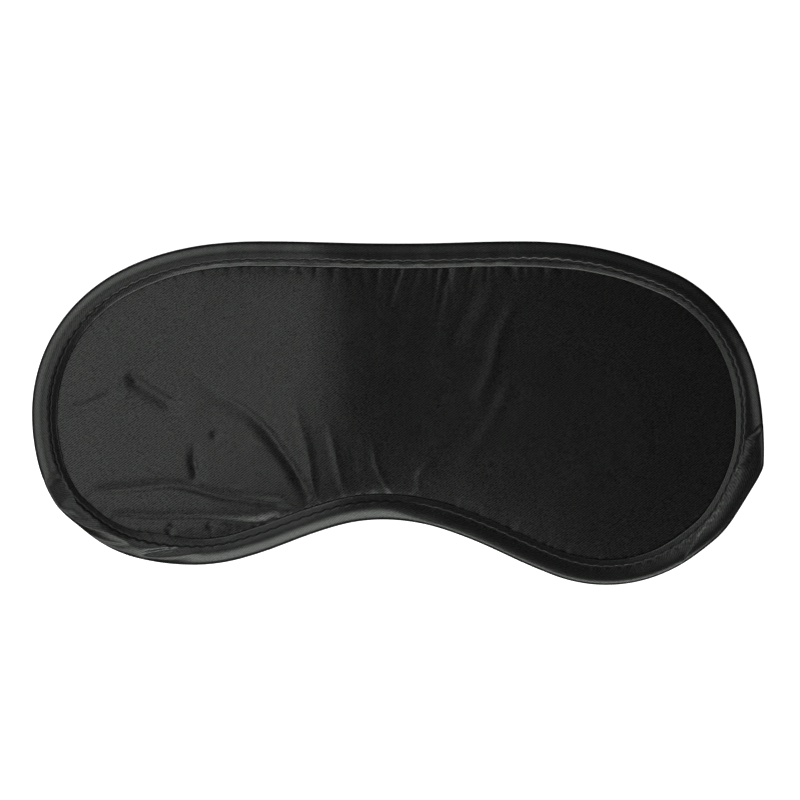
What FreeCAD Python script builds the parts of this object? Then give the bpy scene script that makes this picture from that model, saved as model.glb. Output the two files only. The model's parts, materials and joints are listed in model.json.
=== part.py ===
"""Sleep eye mask: a padded cloth body with a bound edge and a two-piece elastic strap.

The mask lies face up with its straps folded flat behind it. +X is along the mask's length, +Y
towards the brow edge, and +Z out of the face panel. The origin is under the middle of the mask,
at the level of whatever it lies on. Lengths are in millimetres and angles in degrees.
"""

import FreeCAD, Part
import math
import os

import Sketcher
from FreeCAD import Placement, Rotation, Vector

UP = Vector(0, 0, 1)

# Driving dimensions: alias, value.
DIMENSIONS = [
    # edge binding
    ("binding_bottom", 3.0),
    ("binding_height", 4.4),
    ("binding_edge_radius", 1.9),
    ("binding_width", 6.2),
    ("binding_cloth", 0.6),
    ("binding_hem", 1.0),
    # layers, from the skin outwards; the wadding is squeezed to wadding_edge inside the binding
    ("layer_inset", 0.8),
    ("lining_thickness", 0.3),
    ("blackout_thickness", 0.3),
    ("wadding_edge", 1.2),
    ("crown_inset", 8.2),
    ("crown_rise", 4.0),
    ("crown_radius", 2.6),
    ("face_thickness", 0.3),
    # binding lockstitch
    ("stitch_pitch", 2.84),
    ("stitch_length", 2.3),
    ("stitch_inset", 4.7),
    ("thread_radius", 0.2),
    # straps: elastic tape on each, with a hook patch on the right and a loop patch on the left
    ("tape_width", 12.0),
    ("tape_thickness", 1.0),
    ("tape_corner", 2.0),
    ("sewn_length", 5.0),
    ("hinge_gap", 0.3),
    ("patch_thickness", 1.2),
    ("patch_margin", 0.5),
    ("patch_corner", 1.6),
    ("patch_stitch_pitch", 2.6),
    ("patch_stitch_length", 1.9),
    ("patch_stitch_margin", 1.5),
    ("left_length", 145.0),
    ("left_hinge_x", -82.4),
    ("left_hinge_y", -18.6),
    ("left_heading", 18.0),
    ("loop_length", 64.0),
    ("right_length", 110.0),
    ("right_hinge_x", 86.0),
    ("right_hinge_y", -8.6),
    ("right_heading", 183.0),
    ("hook_length", 30.0),
]

# The outer edge, clockwise from the left end: name, x, y, heading. Each pair of neighbours is
# joined by two tangent arcs. A real mask is cut and bound by hand, so its two ends differ.
LEFT_AND_BROW = [
    ("left_end", -95.0, 0.0, 90),
    ("left_shoulder", -82.0, 30.0, 43),
    ("left_brow", -61.0, 41.4, 16),
    ("brow_left_top", -36.0, 44.6, 0),
    ("brow_dip", 0.0, 44.0, 0),
    ("brow_right_top", 33.0, 44.6, 0),
    ("right_brow", 60.0, 40.9, -17),
    ("right_shoulder", 80.0, 31.0, -41),
    ("right_side", 93.5, 7.0, -80),
]
# The binding stands out round the right strap's sewn end; the layers inside it do not.
RIGHT_CORNER_BOUND = [
    ("strap_corner", 95.0, -12.0, -90),
    ("strap_corner_turn", 92.8, -18.0, -122),
    ("strap_corner_end", 86.5, -28.0, -124),
]
RIGHT_CORNER_LAYERS = [
    ("right_end", 94.0, -5.0, -93),
    ("right_cheek", 86.3, -27.4, -122),
]
NOSE_AND_CHEEKS = [
    ("right_jaw", 76.0, -37.6, -145),
    ("right_lobe", 54.0, -44.6, -180),
    ("nose_right", 27.0, -36.3, -206),
    ("nose_top", -4.0, -27.6, -180),
    ("nose_left", -29.0, -33.8, -158),
    ("left_lobe", -53.0, -39.4, -180),
    ("left_jaw", -80.5, -31.2, -219),
    ("left_cheek", -89.4, -22.6, -239),
]


def make_sheet(doc):
    """The spreadsheet of driving dimensions, with the outline's knots below them."""
    sheet = doc.addObject("Spreadsheet::Sheet", "Dims")
    rows = list(DIMENSIONS)
    for name, x, y, heading in (
        LEFT_AND_BROW + RIGHT_CORNER_BOUND + RIGHT_CORNER_LAYERS + NOSE_AND_CHEEKS
    ):
        rows += [(name + "_x", x), (name + "_y", y), (name + "_heading", heading)]
    for row, (alias, value) in enumerate(rows, start=1):
        sheet.set(f"A{row}", alias)
        sheet.set(f"B{row}", str(value))
        sheet.setAlias(f"B{row}", alias)
    doc.recompute()
    return sheet


# ---------------------------------------------------------------- outline


def unit(heading):
    """The unit vector along a heading in radians."""
    return Vector(math.cos(heading), math.sin(heading), 0)


def inward(tangent):
    """The normal that points into the mask, which lies to the right of a clockwise outline."""
    return Vector(tangent.y, -tangent.x, 0)


def biarc_joint(start, start_dir, end, end_dir):
    """The point where the two tangent arcs between two knots meet, and the direction there."""
    chord = end - start
    both = start_dir + end_dir
    quad = 2.0 * (1.0 - start_dir.dot(end_dir))
    along = chord.dot(both)
    if quad < 1e-12:
        reach = chord.dot(chord) / (2.0 * along)
    else:
        reach = (math.sqrt(along * along + quad * chord.dot(chord)) - along) / quad
    joint = (start + end + (start_dir - end_dir) * reach) * 0.5
    middle = end - start - both * reach
    return joint, middle.normalize()


def arc_middle(start, start_dir, end):
    """The point halfway along the arc that leaves start along start_dir and passes through end."""
    chord = end - start
    turn = 2.0 * math.atan2(start_dir.cross(chord).z, start_dir.dot(chord))
    side = Vector(-chord.y, chord.x, 0)
    return start + chord * 0.5 - side * (0.5 * math.tan(turn / 4.0))


def outline_arcs(sheet, knots):
    """The outline as a list of arcs, each (start, middle, end) with the tangent at each."""
    points = []
    for name, _, _, _ in knots:
        heading = math.radians(sheet.get(name + "_heading"))
        place = Vector(sheet.get(name + "_x"), sheet.get(name + "_y"), 0)
        points.append((place, unit(heading)))
    arcs = []
    for (start, start_dir), (end, end_dir) in zip(points, points[1:] + points[:1]):
        joint, joint_dir = biarc_joint(start, start_dir, end, end_dir)
        for a, a_dir, b, b_dir in (
            (start, start_dir, joint, joint_dir),
            (joint, joint_dir, end, end_dir),
        ):
            chord_dir = (b - a).normalize()
            arcs.append(((a, a_dir), (arc_middle(a, a_dir, b), chord_dir), (b, b_dir)))
    return arcs


def inset_curves(arcs, inset):
    """The arcs moved inwards by inset, as Part curves."""
    return [
        Part.Arc(*[place + inward(tangent) * inset for place, tangent in arc])
        for arc in arcs
    ]


# ---------------------------------------------------------------- PartDesign helpers


def new_body(doc, label):
    body = doc.addObject("PartDesign::Body", label)
    body.Label = label
    return body


def origin_plane(body, role):
    return next(f for f in body.Origin.OriginFeatures if f.Role == role)


def new_sketch(body, name, curves, height="0"):
    """A sketch on the body's own XY plane, raised to the height that an expression gives."""
    sketch = body.newObject("Sketcher::SketchObject", name)
    sketch.AttachmentSupport = [(origin_plane(body, "XY_Plane"), "")]
    sketch.MapMode = "FlatFace"
    sketch.setExpression("AttachmentOffset.Base.z", height)
    sketch.addGeometry(curves, False)
    return sketch


def add_pad(body, name, sketch, length):
    pad = body.newObject("PartDesign::Pad", name)
    pad.Profile = sketch
    pad.setExpression("Length", length)
    return pad


def add_pocket(body, name, sketch, depth):
    """A pocket that runs up from its sketch."""
    pocket = body.newObject("PartDesign::Pocket", name)
    pocket.Profile = sketch
    pocket.Reversed = True
    pocket.setExpression("Length", depth)
    return pocket


def round_edges(doc, body, name, base, radius, wanted):
    """Fillets the edges of a feature that wanted() picks."""
    doc.recompute()
    edges = [
        f"Edge{i}" for i, edge in enumerate(base.Shape.Edges, start=1) if wanted(edge)
    ]
    fillet = body.newObject("PartDesign::Fillet", name)
    fillet.Base = (base, edges)
    fillet.setExpression("Radius", radius)
    return fillet


def lies_at(*heights):
    """A test for edges that lie flat at one of some heights."""

    def test(edge):
        box = edge.BoundBox
        return box.ZLength < 1e-6 and any(abs(box.ZMin - z) < 1e-6 for z in heights)

    return test


def stands_at(x):
    """A test for upright edges at one x."""

    def test(edge):
        box = edge.BoundBox
        return box.ZLength > 1e-3 and box.XLength < 1e-6 and abs(box.XMin - x) < 1e-6

    return test


def rectangle(x_low, x_high, y_low, y_high):
    corners = [
        Vector(x_low, y_low, 0),
        Vector(x_high, y_low, 0),
        Vector(x_high, y_high, 0),
        Vector(x_low, y_high, 0),
    ]
    return [Part.LineSegment(a, b) for a, b in zip(corners, corners[1:] + corners[:1])]


def bound_rectangle(sheet, body, name, low_x, high_x, width):
    """A sketch of a rectangle astride the X axis, its ends and width each an expression."""
    half = sheet.evalExpression(width) / 2
    ends = [sheet.evalExpression(low_x), sheet.evalExpression(high_x)]
    sketch = new_sketch(body, name, rectangle(*ends, -half, half))
    constrain = sketch.addConstraint
    for side in range(4):
        constrain(Sketcher.Constraint("Coincident", side, 2, (side + 1) % 4, 1))
    for side, way in enumerate(("Horizontal", "Vertical", "Horizontal", "Vertical")):
        constrain(Sketcher.Constraint(way, side))
    bound = (
        ("DistanceX", 1, ends[1], high_x),
        ("DistanceY", 2, half, f"({width}) / 2"),
        ("DistanceX", 3, ends[0], low_x),
        ("DistanceY", 0, -half, f"-({width}) / 2"),
    )
    for way, side, value, expression in bound:
        number = constrain(Sketcher.Constraint(way, -1, 1, side, 1, value))
        sketch.setExpression(f"Constraints[{number}]", expression)
    return sketch


# ---------------------------------------------------------------- mask

LINING_BOTTOM = "Dims.binding_bottom + Dims.binding_cloth + Dims.binding_hem"
BLACKOUT_BOTTOM = LINING_BOTTOM + " + Dims.lining_thickness"
WADDING_BOTTOM = BLACKOUT_BOTTOM + " + Dims.blackout_thickness"
FACE_BOTTOM = WADDING_BOTTOM + " + Dims.wadding_edge"
FACE_TOP = FACE_BOTTOM + " + Dims.face_thickness"
BINDING_TOP = "Dims.binding_bottom + Dims.binding_height"


def flat_layer(doc, sheet, arcs, label, bottom, thickness):
    """A cloth layer: the outline, cut a little inside the binding's fold."""
    body = new_body(doc, label)
    cut = inset_curves(arcs, sheet.layer_inset)
    sketch = new_sketch(body, label + "_cut", cut, bottom)
    add_pad(body, label + "_cloth", sketch, thickness)
    return body


def crowned_layer(doc, sheet, arcs, label, skin="0"):
    """The wadding, or with the face's skin added the space that the face panel encloses: a flat
    edge that the binding squeezes, and a crown with a soft shoulder."""
    body = new_body(doc, label)
    edge_cut = inset_curves(arcs, sheet.layer_inset)
    edge = new_sketch(body, label + "_cut", edge_cut, WADDING_BOTTOM)
    add_pad(body, label + "_edge", edge, f"Dims.wadding_edge + {skin}")
    crown_cut = inset_curves(arcs, sheet.crown_inset - sheet.evalExpression(skin))
    crown = new_sketch(body, label + "_crown_cut", crown_cut, WADDING_BOTTOM)
    top = add_pad(body, label + "_crown", crown, f"Dims.wadding_edge + Dims.crown_rise + {skin}")
    height = sheet.evalExpression(f"{FACE_BOTTOM} + Dims.crown_rise + {skin}")
    radius = f"Dims.crown_radius + {skin}"
    round_edges(doc, body, label + "_shoulder", top, radius, lies_at(height))
    return body


def face_panel(doc, envelope, wadding):
    """The satin face: what its envelope holds outside the wadding."""
    panel = doc.addObject("Part::Cut", "face_panel")
    panel.Label = "face_panel"
    panel.Base = envelope
    panel.Tool = wadding
    return panel


def binding_tape(doc, sheet, bound_arcs, layer_arcs):
    """The bias strip round the edge: rounded outside, hollow for the layers' edges, open inside
    its lip, with a slot under the lining for each strap's sewn end."""
    body = new_body(doc, "binding_tape")
    outer = new_sketch(body, "binding_edge", inset_curves(bound_arcs, 0.0), "Dims.binding_bottom")
    block = add_pad(body, "binding_block", outer, "Dims.binding_height")
    rolled = lies_at(sheet.binding_bottom, sheet.evalExpression(BINDING_TOP))
    round_edges(doc, body, "binding_roll", block, "Dims.binding_edge_radius", rolled)
    lip_cut = inset_curves(layer_arcs, sheet.binding_width)
    lip = new_sketch(body, "binding_lip", lip_cut, "Dims.binding_bottom")
    add_pocket(body, "binding_window", lip, "Dims.binding_height")
    fold_cut = inset_curves(layer_arcs, sheet.layer_inset)
    fold = new_sketch(body, "binding_fold", fold_cut, LINING_BOTTOM)
    add_pocket(body, "binding_hollow", fold, f"{FACE_TOP} - ({LINING_BOTTOM})")
    for side in ("left", "right"):
        name = side + "_slot"
        slot = bound_rectangle(
            sheet, body, name + "_cut", "-Dims.sewn_length", "Dims.binding_width", "Dims.tape_width"
        )
        place_on_strap(slot, "AttachmentOffset", side, SEWN_LEVEL)
        add_pocket(body, name, slot, "Dims.binding_hem")
    return body


# ---------------------------------------------------------------- straps

# Undersides of the tapes and patches. The right patch lies under its tape and the left one on it,
# and the two straps turn about axes at one height, so both lie flat folded in or opened out.
SEWN_LEVEL = "Dims.binding_bottom + Dims.binding_cloth"
RIGHT_PATCH_LEVEL = "0"
RIGHT_TAPE_LEVEL = "Dims.patch_thickness"
LEFT_TAPE_LEVEL = "2 * Dims.thread_radius"
LEFT_PATCH_LEVEL = LEFT_TAPE_LEVEL + " + Dims.tape_thickness"
HINGE_HEIGHT = "(Dims.patch_thickness + Dims.tape_thickness + 2 * Dims.thread_radius) / 2"


def place_on_strap(thing, placement, side, height):
    """Binds a placement to a strap's own frame: its origin on the hinge line, X along the tape
    towards the free end."""
    setattr(thing, placement, Placement(Vector(), Rotation(UP, 1.0)))
    thing.setExpression(placement + ".Base.x", f"Dims.{side}_hinge_x")
    thing.setExpression(placement + ".Base.y", f"Dims.{side}_hinge_y")
    thing.setExpression(placement + ".Base.z", height)
    thing.setExpression(placement + ".Rotation.Angle", f"Dims.{side}_heading")


def flat_strip(doc, sheet, side, label, ends, width, height, thickness, corner=None, rounded=()):
    """A strip with flat faces in a strap's frame. Its corners at the rounded ends get a radius."""
    body = new_body(doc, label)
    sketch = bound_rectangle(sheet, body, label + "_cut", *ends, width)
    pad = add_pad(body, label + "_strip", sketch, thickness)
    for number, end in enumerate(rounded):
        name = f"{label}_corner{number}"
        pad = round_edges(doc, body, name, pad, corner, stands_at(sheet.evalExpression(end)))
    place_on_strap(body, "Placement", side, height)
    return body


def strap(doc, sheet, side, patch, tape_level, patch_level):
    """One strap: the tape's sewn end, its free length, and the patch at the free end."""
    tape = ("Dims.tape_width", SEWN_LEVEL, "Dims.tape_thickness")
    sewn_ends = ("-Dims.sewn_length", "-Dims.hinge_gap")
    sewn = flat_strip(doc, sheet, side, side + "_strap_sewn_end", sewn_ends, *tape)

    tip = f"Dims.{side}_length"
    tape = ("Dims.tape_width", tape_level, "Dims.tape_thickness", "Dims.tape_corner")
    free_ends = ("Dims.hinge_gap", tip)
    free = flat_strip(doc, sheet, side, side + "_strap_elastic", free_ends, *tape, [tip])

    patch_end = f"{tip} - Dims.patch_margin"
    patch_start = f"{patch_end} - Dims.{patch}_length"
    ends = (patch_start, patch_end)
    width = "Dims.tape_width - 2 * Dims.patch_margin"
    cloth = (width, patch_level, "Dims.patch_thickness", "Dims.patch_corner")
    patch_body = flat_strip(doc, sheet, side, patch + "_patch", ends, *cloth, ends)
    stitches = patch_stitches(doc, sheet, side, patch, ends, tape_level, patch_level)
    return [sewn, free, patch_body, stitches]


# ---------------------------------------------------------------- stitches


def stitch_row(wire, pitch, length, radius):
    """Evenly spaced stitches along a closed wire: straight bars of thread."""
    places = wire.discretize(Number=round(wire.Length / pitch) + 1)
    bars = []
    for a, b in zip(places, places[1:]):
        gap = (b - a) * (0.5 * (1.0 - length / pitch))
        bars.append(Part.makeCylinder(radius, (b - a - gap * 2).Length, a + gap, b - a))
    return Part.makeCompound(bars)


def add_feature(doc, label, shape):
    feature = doc.addObject("Part::Feature", label)
    feature.Label = label
    feature.Shape = shape
    return feature


def binding_stitches(doc, sheet, arcs):
    """The lockstitch through the binding's lip, lying on its cloth: needle thread on the face and
    bobbin thread behind."""
    curves = inset_curves(arcs, sheet.stitch_inset)
    wire = Part.Wire([curve.toShape() for curve in curves])
    row = stitch_row(wire, sheet.stitch_pitch, sheet.stitch_length, sheet.thread_radius)
    needle = add_feature(doc, "binding_needle_stitches", row)
    needle.setExpression("Placement.Base.z", BINDING_TOP + " + Dims.thread_radius")
    bobbin = add_feature(doc, "binding_bobbin_stitches", row)
    bobbin.setExpression("Placement.Base.z", "Dims.binding_bottom - Dims.thread_radius")
    return [needle, bobbin]


def patch_stitches(doc, sheet, side, patch, ends, tape_level, patch_level):
    """The row of stitches round a patch, lying on the tape's plain face."""
    margin = sheet.patch_stitch_margin
    start, end = [sheet.evalExpression(x) for x in ends]
    half = sheet.tape_width / 2 - sheet.patch_margin - margin
    outline = rectangle(start + margin, end - margin, -half, half)
    wire = Part.Wire([line.toShape() for line in outline])
    pitch, length = sheet.patch_stitch_pitch, sheet.patch_stitch_length
    row = stitch_row(wire, pitch, length, sheet.thread_radius)
    feature = add_feature(doc, patch + "_patch_stitches", row)
    patch_is_below = sheet.evalExpression(patch_level) < sheet.evalExpression(tape_level)
    above, below = " + Dims.tape_thickness + Dims.thread_radius", " - Dims.thread_radius"
    plain_face = tape_level + (above if patch_is_below else below)
    place_on_strap(feature, "Placement", side, plain_face)
    return feature


# ---------------------------------------------------------------- assembly


def build(doc):
    """Builds every sub-part and returns the document objects to write."""
    sheet = make_sheet(doc)
    bound_arcs = outline_arcs(sheet, LEFT_AND_BROW + RIGHT_CORNER_BOUND + NOSE_AND_CHEEKS)
    layer_arcs = outline_arcs(sheet, LEFT_AND_BROW + RIGHT_CORNER_LAYERS + NOSE_AND_CHEEKS)

    cloth = ("lining_panel", LINING_BOTTOM, "Dims.lining_thickness")
    lining = flat_layer(doc, sheet, layer_arcs, *cloth)
    cloth = ("blackout_layer", BLACKOUT_BOTTOM, "Dims.blackout_thickness")
    blackout = flat_layer(doc, sheet, layer_arcs, *cloth)
    wadding = crowned_layer(doc, sheet, layer_arcs, "wadding")
    envelope = crowned_layer(doc, sheet, layer_arcs, "face_envelope", "Dims.face_thickness")
    face = face_panel(doc, envelope, wadding)
    binding = binding_tape(doc, sheet, bound_arcs, layer_arcs)
    stitches = binding_stitches(doc, sheet, layer_arcs)

    left = strap(doc, sheet, "left", "loop", LEFT_TAPE_LEVEL, LEFT_PATCH_LEVEL)
    right = strap(doc, sheet, "right", "hook", RIGHT_TAPE_LEVEL, RIGHT_PATCH_LEVEL)
    return [lining, blackout, wadding, face, binding, *stitches, *left, *right]


def write_parts(doc, subparts):
    """Checks every object, then writes one STEP file for each sub-part."""
    doc.recompute()
    for thing in doc.Objects:
        if {"Invalid", "Error"} & set(thing.State):
            raise RuntimeError(f"{thing.Label} failed: {thing.State}")
    for thing in subparts:
        if thing.Shape.isNull() or not thing.Shape.isValid():
            raise RuntimeError(f"{thing.Label} has no valid shape")
    os.makedirs("parts", exist_ok=True)
    for thing in subparts:
        thing.Shape.exportStep(f"parts/{thing.Label}.step")
        print(f"{thing.Label}: {len(thing.Shape.Solids)} solids, {thing.Shape.Volume:.1f} mm3")


document = FreeCAD.newDocument("SleepMask")
write_parts(document, build(document))
hinge_height = document.Dims.evalExpression(HINGE_HEIGHT)
print(f"hinge axes at z = {hinge_height:.2f}")
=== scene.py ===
import json
import math

import bmesh
import bpy
import numpy as np
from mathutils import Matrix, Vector, geometry, kdtree, noise


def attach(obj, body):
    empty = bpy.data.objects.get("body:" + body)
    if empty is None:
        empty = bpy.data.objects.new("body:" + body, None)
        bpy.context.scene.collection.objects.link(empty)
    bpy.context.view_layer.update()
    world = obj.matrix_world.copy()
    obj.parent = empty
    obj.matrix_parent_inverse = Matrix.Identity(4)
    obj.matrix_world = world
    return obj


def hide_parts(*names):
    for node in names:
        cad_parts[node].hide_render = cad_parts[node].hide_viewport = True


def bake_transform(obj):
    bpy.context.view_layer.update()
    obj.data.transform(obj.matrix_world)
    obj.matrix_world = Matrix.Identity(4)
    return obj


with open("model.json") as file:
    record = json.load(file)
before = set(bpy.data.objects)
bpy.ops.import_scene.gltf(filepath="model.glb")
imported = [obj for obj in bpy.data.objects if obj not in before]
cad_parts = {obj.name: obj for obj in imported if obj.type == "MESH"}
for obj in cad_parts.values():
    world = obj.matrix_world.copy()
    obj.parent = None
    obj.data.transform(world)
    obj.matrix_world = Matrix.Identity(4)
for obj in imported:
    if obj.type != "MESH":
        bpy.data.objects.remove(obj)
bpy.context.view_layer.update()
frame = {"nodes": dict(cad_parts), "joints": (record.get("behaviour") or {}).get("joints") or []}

# A padded satin sleep mask, face up, with its two elastic straps folded flat behind it.
# Lengths are in millimetres in the frame's own axes until a mesh is made. Lights and the camera
# are in metres.
MM = 0.001

# ---- rings


def wall_loops(node):
    """The closed loops of a CAD node's upright walls, each at one height."""
    bm = bmesh.new()
    bm.from_mesh(frame["nodes"][node].data)
    bmesh.ops.remove_doubles(bm, verts=bm.verts, dist=1e-7)
    links = {}
    for edge in bm.edges:
        a, b = edge.verts
        level = abs(a.co.z - b.co.z) < 1e-7
        on_wall = any(abs(face.normal.z) < 0.1 for face in edge.link_faces)
        if level and on_wall:
            links.setdefault(a, []).append(b)
            links.setdefault(b, []).append(a)
    loops = []
    while links:
        vert = next(iter(links))
        loop = []
        while vert in links:
            loop.append((vert.co.x / MM, vert.co.y / MM))
            following = [other for other in links.pop(vert) if other in links]
            vert = following[0] if following else None
        loops.append(np.array(loop))
    bm.free()
    return loops


def signed_area(ring):
    following = np.roll(ring, -1, axis=0)
    return 0.5 * np.sum(ring[:, 0] * following[:, 1] - ring[:, 1] * following[:, 0])


def outer_ring(node):
    """A node's outline from above, clockwise from its left end."""
    ring = max(wall_loops(node), key=lambda loop: abs(signed_area(loop)))
    if signed_area(ring) > 0:
        ring = ring[::-1]
    return np.roll(ring, -int(np.argmin(ring[:, 0])), axis=0)


def resampled(ring, count):
    """A closed ring at even spacing along its length."""
    closed = np.vstack([ring, ring[:1]])
    steps = np.hypot(*np.diff(closed, axis=0).T)
    along = np.concatenate([[0.0], np.cumsum(steps)])
    wanted = np.linspace(0.0, along[-1], count, endpoint=False)
    return np.column_stack([np.interp(wanted, along, closed[:, k]) for k in (0, 1)])


def smoothed(ring, spread):
    """A closed ring rounded off over a length of about spread."""
    length = np.sum(np.hypot(*(np.roll(ring, -1, axis=0) - ring).T))
    waves = np.fft.fftfreq(len(ring), d=length / len(ring))
    keep = np.exp(-2.0 * (math.pi * waves * spread) ** 2)
    line = np.fft.ifft(np.fft.fft(ring[:, 0] + 1j * ring[:, 1]) * keep)
    return np.column_stack([line.real, line.imag])


def inward_normals(ring):
    along = np.roll(ring, -1, axis=0) - np.roll(ring, 1, axis=0)
    along /= np.hypot(*along.T)[:, None]
    return np.column_stack([along[:, 1], -along[:, 0]])


STITCHES = 160
STEPS = 12  # ring points for each stitch
LAYER_INSET = 0.8  # the layers are cut this far inside the binding's fold
RING_COUNT = STITCHES * STEPS

layer_ring = smoothed(resampled(outer_ring("lining_panel"), RING_COUNT), 1.5)
ring_in = inward_normals(layer_ring)
ring = layer_ring - ring_in * LAYER_INSET
ring_length = np.sum(np.hypot(*(np.roll(ring, -1, axis=0) - ring).T))
arc = np.arange(RING_COUNT) * ring_length / RING_COUNT
bound_ring = smoothed(resampled(outer_ring("binding_tape"), RING_COUNT), 0.5)


def ring_at(x, y):
    """Arc length along the ring at the ring point nearest to a place."""
    return arc[np.argmin(np.hypot(ring[:, 0] - x, ring[:, 1] - y))]


def ring_gap(a, b):
    """Signed distance along the closed ring from b to a."""
    return (a - b + ring_length / 2) % ring_length - ring_length / 2


def wander(values, seed, scale):
    """Smooth noise from -1 to 1 for each value."""
    return np.array([noise.noise(Vector((v / scale, seed, 0.5 * seed))) for v in values])


def field_wander(xy, seed, scale):
    """The same for each place."""
    return np.array([noise.noise(Vector((x / scale, y / scale, seed))) for x, y in xy])


def ring_wander(seed, scale):
    """Smooth noise along the closed ring, which meets itself at the ends."""
    turn = 2 * math.pi * np.arange(RING_COUNT) / RING_COUNT
    circle = np.column_stack([np.cos(turn), np.sin(turn)]) * ring_length / (2 * math.pi)
    return field_wander(circle, seed, scale)


def ease(value, low, high):
    """0 below low, 1 above high, smooth between."""
    t = np.clip((value - low) / (high - low), 0.0, 1.0)
    return t * t * (3.0 - 2.0 * t)


def hump(gap, spread):
    """1 where a gap is nothing, and less the wider it is."""
    return np.exp(-((gap / spread) ** 2))


# ---- meshes


def make_object(name, points, faces):
    """A smooth-shaded mesh object from points in millimetres."""
    mesh = bpy.data.meshes.new(name)
    mesh.from_pydata((np.asarray(points) * MM).tolist(), [], faces)
    mesh.polygons.foreach_set("use_smooth", [True] * len(mesh.polygons))
    mesh.update()
    thing = bpy.data.objects.new(name, mesh)
    bpy.context.scene.collection.objects.link(thing)
    return thing


def hoop_faces(rows, columns):
    """Faces between rows of points, of which the last row joins the first."""
    faces = []
    for i in range(rows):
        a, b = i * columns, (i + 1) % rows * columns
        for j in range(columns - 1):
            faces.append((a + j, b + j, b + j + 1, a + j + 1))
    return faces


def spline(points, count):
    """A smooth open curve through points, at even parameter steps."""
    points = np.asarray(points, float)
    padded = np.vstack([2 * points[0] - points[1], points, 2 * points[-1] - points[-2]])
    wanted = np.linspace(0, len(points) - 1, count)
    start = np.minimum(wanted.astype(int), len(points) - 2)
    t = (wanted - start)[:, None]
    p0, p1, p2, p3 = (padded[start + k] for k in range(4))
    square = (2 * p0 - 5 * p1 + 4 * p2 - p3) * t**2
    cube = (3 * p1 - p0 - 3 * p2 + p3) * t**3
    return 0.5 * (2 * p1 + (p2 - p0) * t + square + cube)


class Solid:
    """Points and faces of several closed shapes, gathered for one mesh."""

    def __init__(self):
        self.points, self.faces = [], []

    def skin(self, rows):
        """A tube through equal closed rows of points, with flat ends."""
        first, count = len(self.points), len(rows[0])
        for row in rows:
            self.points.extend(tuple(point) for point in row)
        for i in range(len(rows) - 1):
            a, b = first + i * count, first + (i + 1) * count
            for j in range(count):
                k = (j + 1) % count
                self.faces.append((a + j, b + j, b + k, a + k))
        last = first + (len(rows) - 1) * count
        self.faces.append(tuple(first + j for j in range(count)))
        self.faces.append(tuple(last + j for j in reversed(range(count))))

    def bar(self, path, radii, side, corners=8):
        """A round bar along a path that stays in the plane square to side."""
        path, side = np.asarray(path, float), np.asarray(side, float)
        along = np.gradient(path, axis=0)
        along /= np.linalg.norm(along, axis=1)[:, None]
        up = np.cross(side, along)
        turns = 2 * math.pi * np.arange(corners) / corners
        rows = []
        for point, rise, radius in zip(path, up, np.broadcast_to(radii, len(path))):
            rows.append([point + radius * (math.cos(t) * side + math.sin(t) * rise) for t in turns])
        self.skin(rows)

    def make(self, name):
        thing = make_object(name, self.points, self.faces)
        bm = bmesh.new()
        bm.from_mesh(thing.data)
        bmesh.ops.recalc_face_normals(bm, faces=bm.faces)
        bm.to_mesh(thing.data)
        bm.free()
        return thing


def nearest_points(points, xy):
    """For each place: its distance from the nearest of some points, and that point's number."""
    tree = kdtree.KDTree(len(points))
    for number, (x, y) in enumerate(points):
        tree.insert((x, y, 0.0), number)
    tree.balance()
    found = [tree.find((x, y, 0.0)) for x, y in xy]
    return np.array([f[2] for f in found]), np.array([f[1] for f in found])


def ring_distance(xy):
    """For each place: the distance from the ring and the arc length of the nearest ring point."""
    distance, nearest = nearest_points(ring, xy)
    return distance, arc[nearest]


BORDER_CLEARANCE = 0.6  # how near the inner points come to the border, as a share of the spacing


def sheet_plan(inset, spacing):
    """Points and triangles that fill the ring's inside, from inset inwards, on a close-packed
    grid. The first points are the border, in order."""
    skip = max(1, round(spacing / (ring_length / RING_COUNT)))
    border = (ring + ring_in * inset)[::skip]
    low, high = border.min(axis=0), border.max(axis=0)
    inner = []
    for row, y in enumerate(np.arange(low[1], high[1], spacing * math.sqrt(3) / 2)):
        xs = np.arange(low[0] + (row % 2) * spacing / 2, high[0], spacing)
        inner.append(np.column_stack([xs, np.full(len(xs), y)]))
    inner = np.vstack(inner)
    distance, _ = ring_distance(inner)
    inner = inner[distance > inset + BORDER_CLEARANCE * spacing]
    points = [Vector(p) for p in np.vstack([border, inner])]
    edges = [(i, (i + 1) % len(border)) for i in range(len(border))]
    points, _, faces, *_ = geometry.delaunay_2d_cdt(points, edges, [], 1, 1e-7)
    return np.array([tuple(p) for p in points]), [tuple(f) for f in faces], len(border)


def cloth_slab(name, plan, top, bottom):
    """A closed layer of cloth or filling between two height fields over one plan."""
    xy, faces, border = plan
    count = len(xy)
    points = np.vstack([np.column_stack([xy, top]), np.column_stack([xy, bottom])])
    down = [tuple(i + count for i in reversed(f)) for f in faces]
    side = []
    for i in range(border):
        j = (i + 1) % border
        side.append((i, j, j + count, i + count))
    return make_object(name, points, faces + down + side)


# ---- face relief

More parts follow.
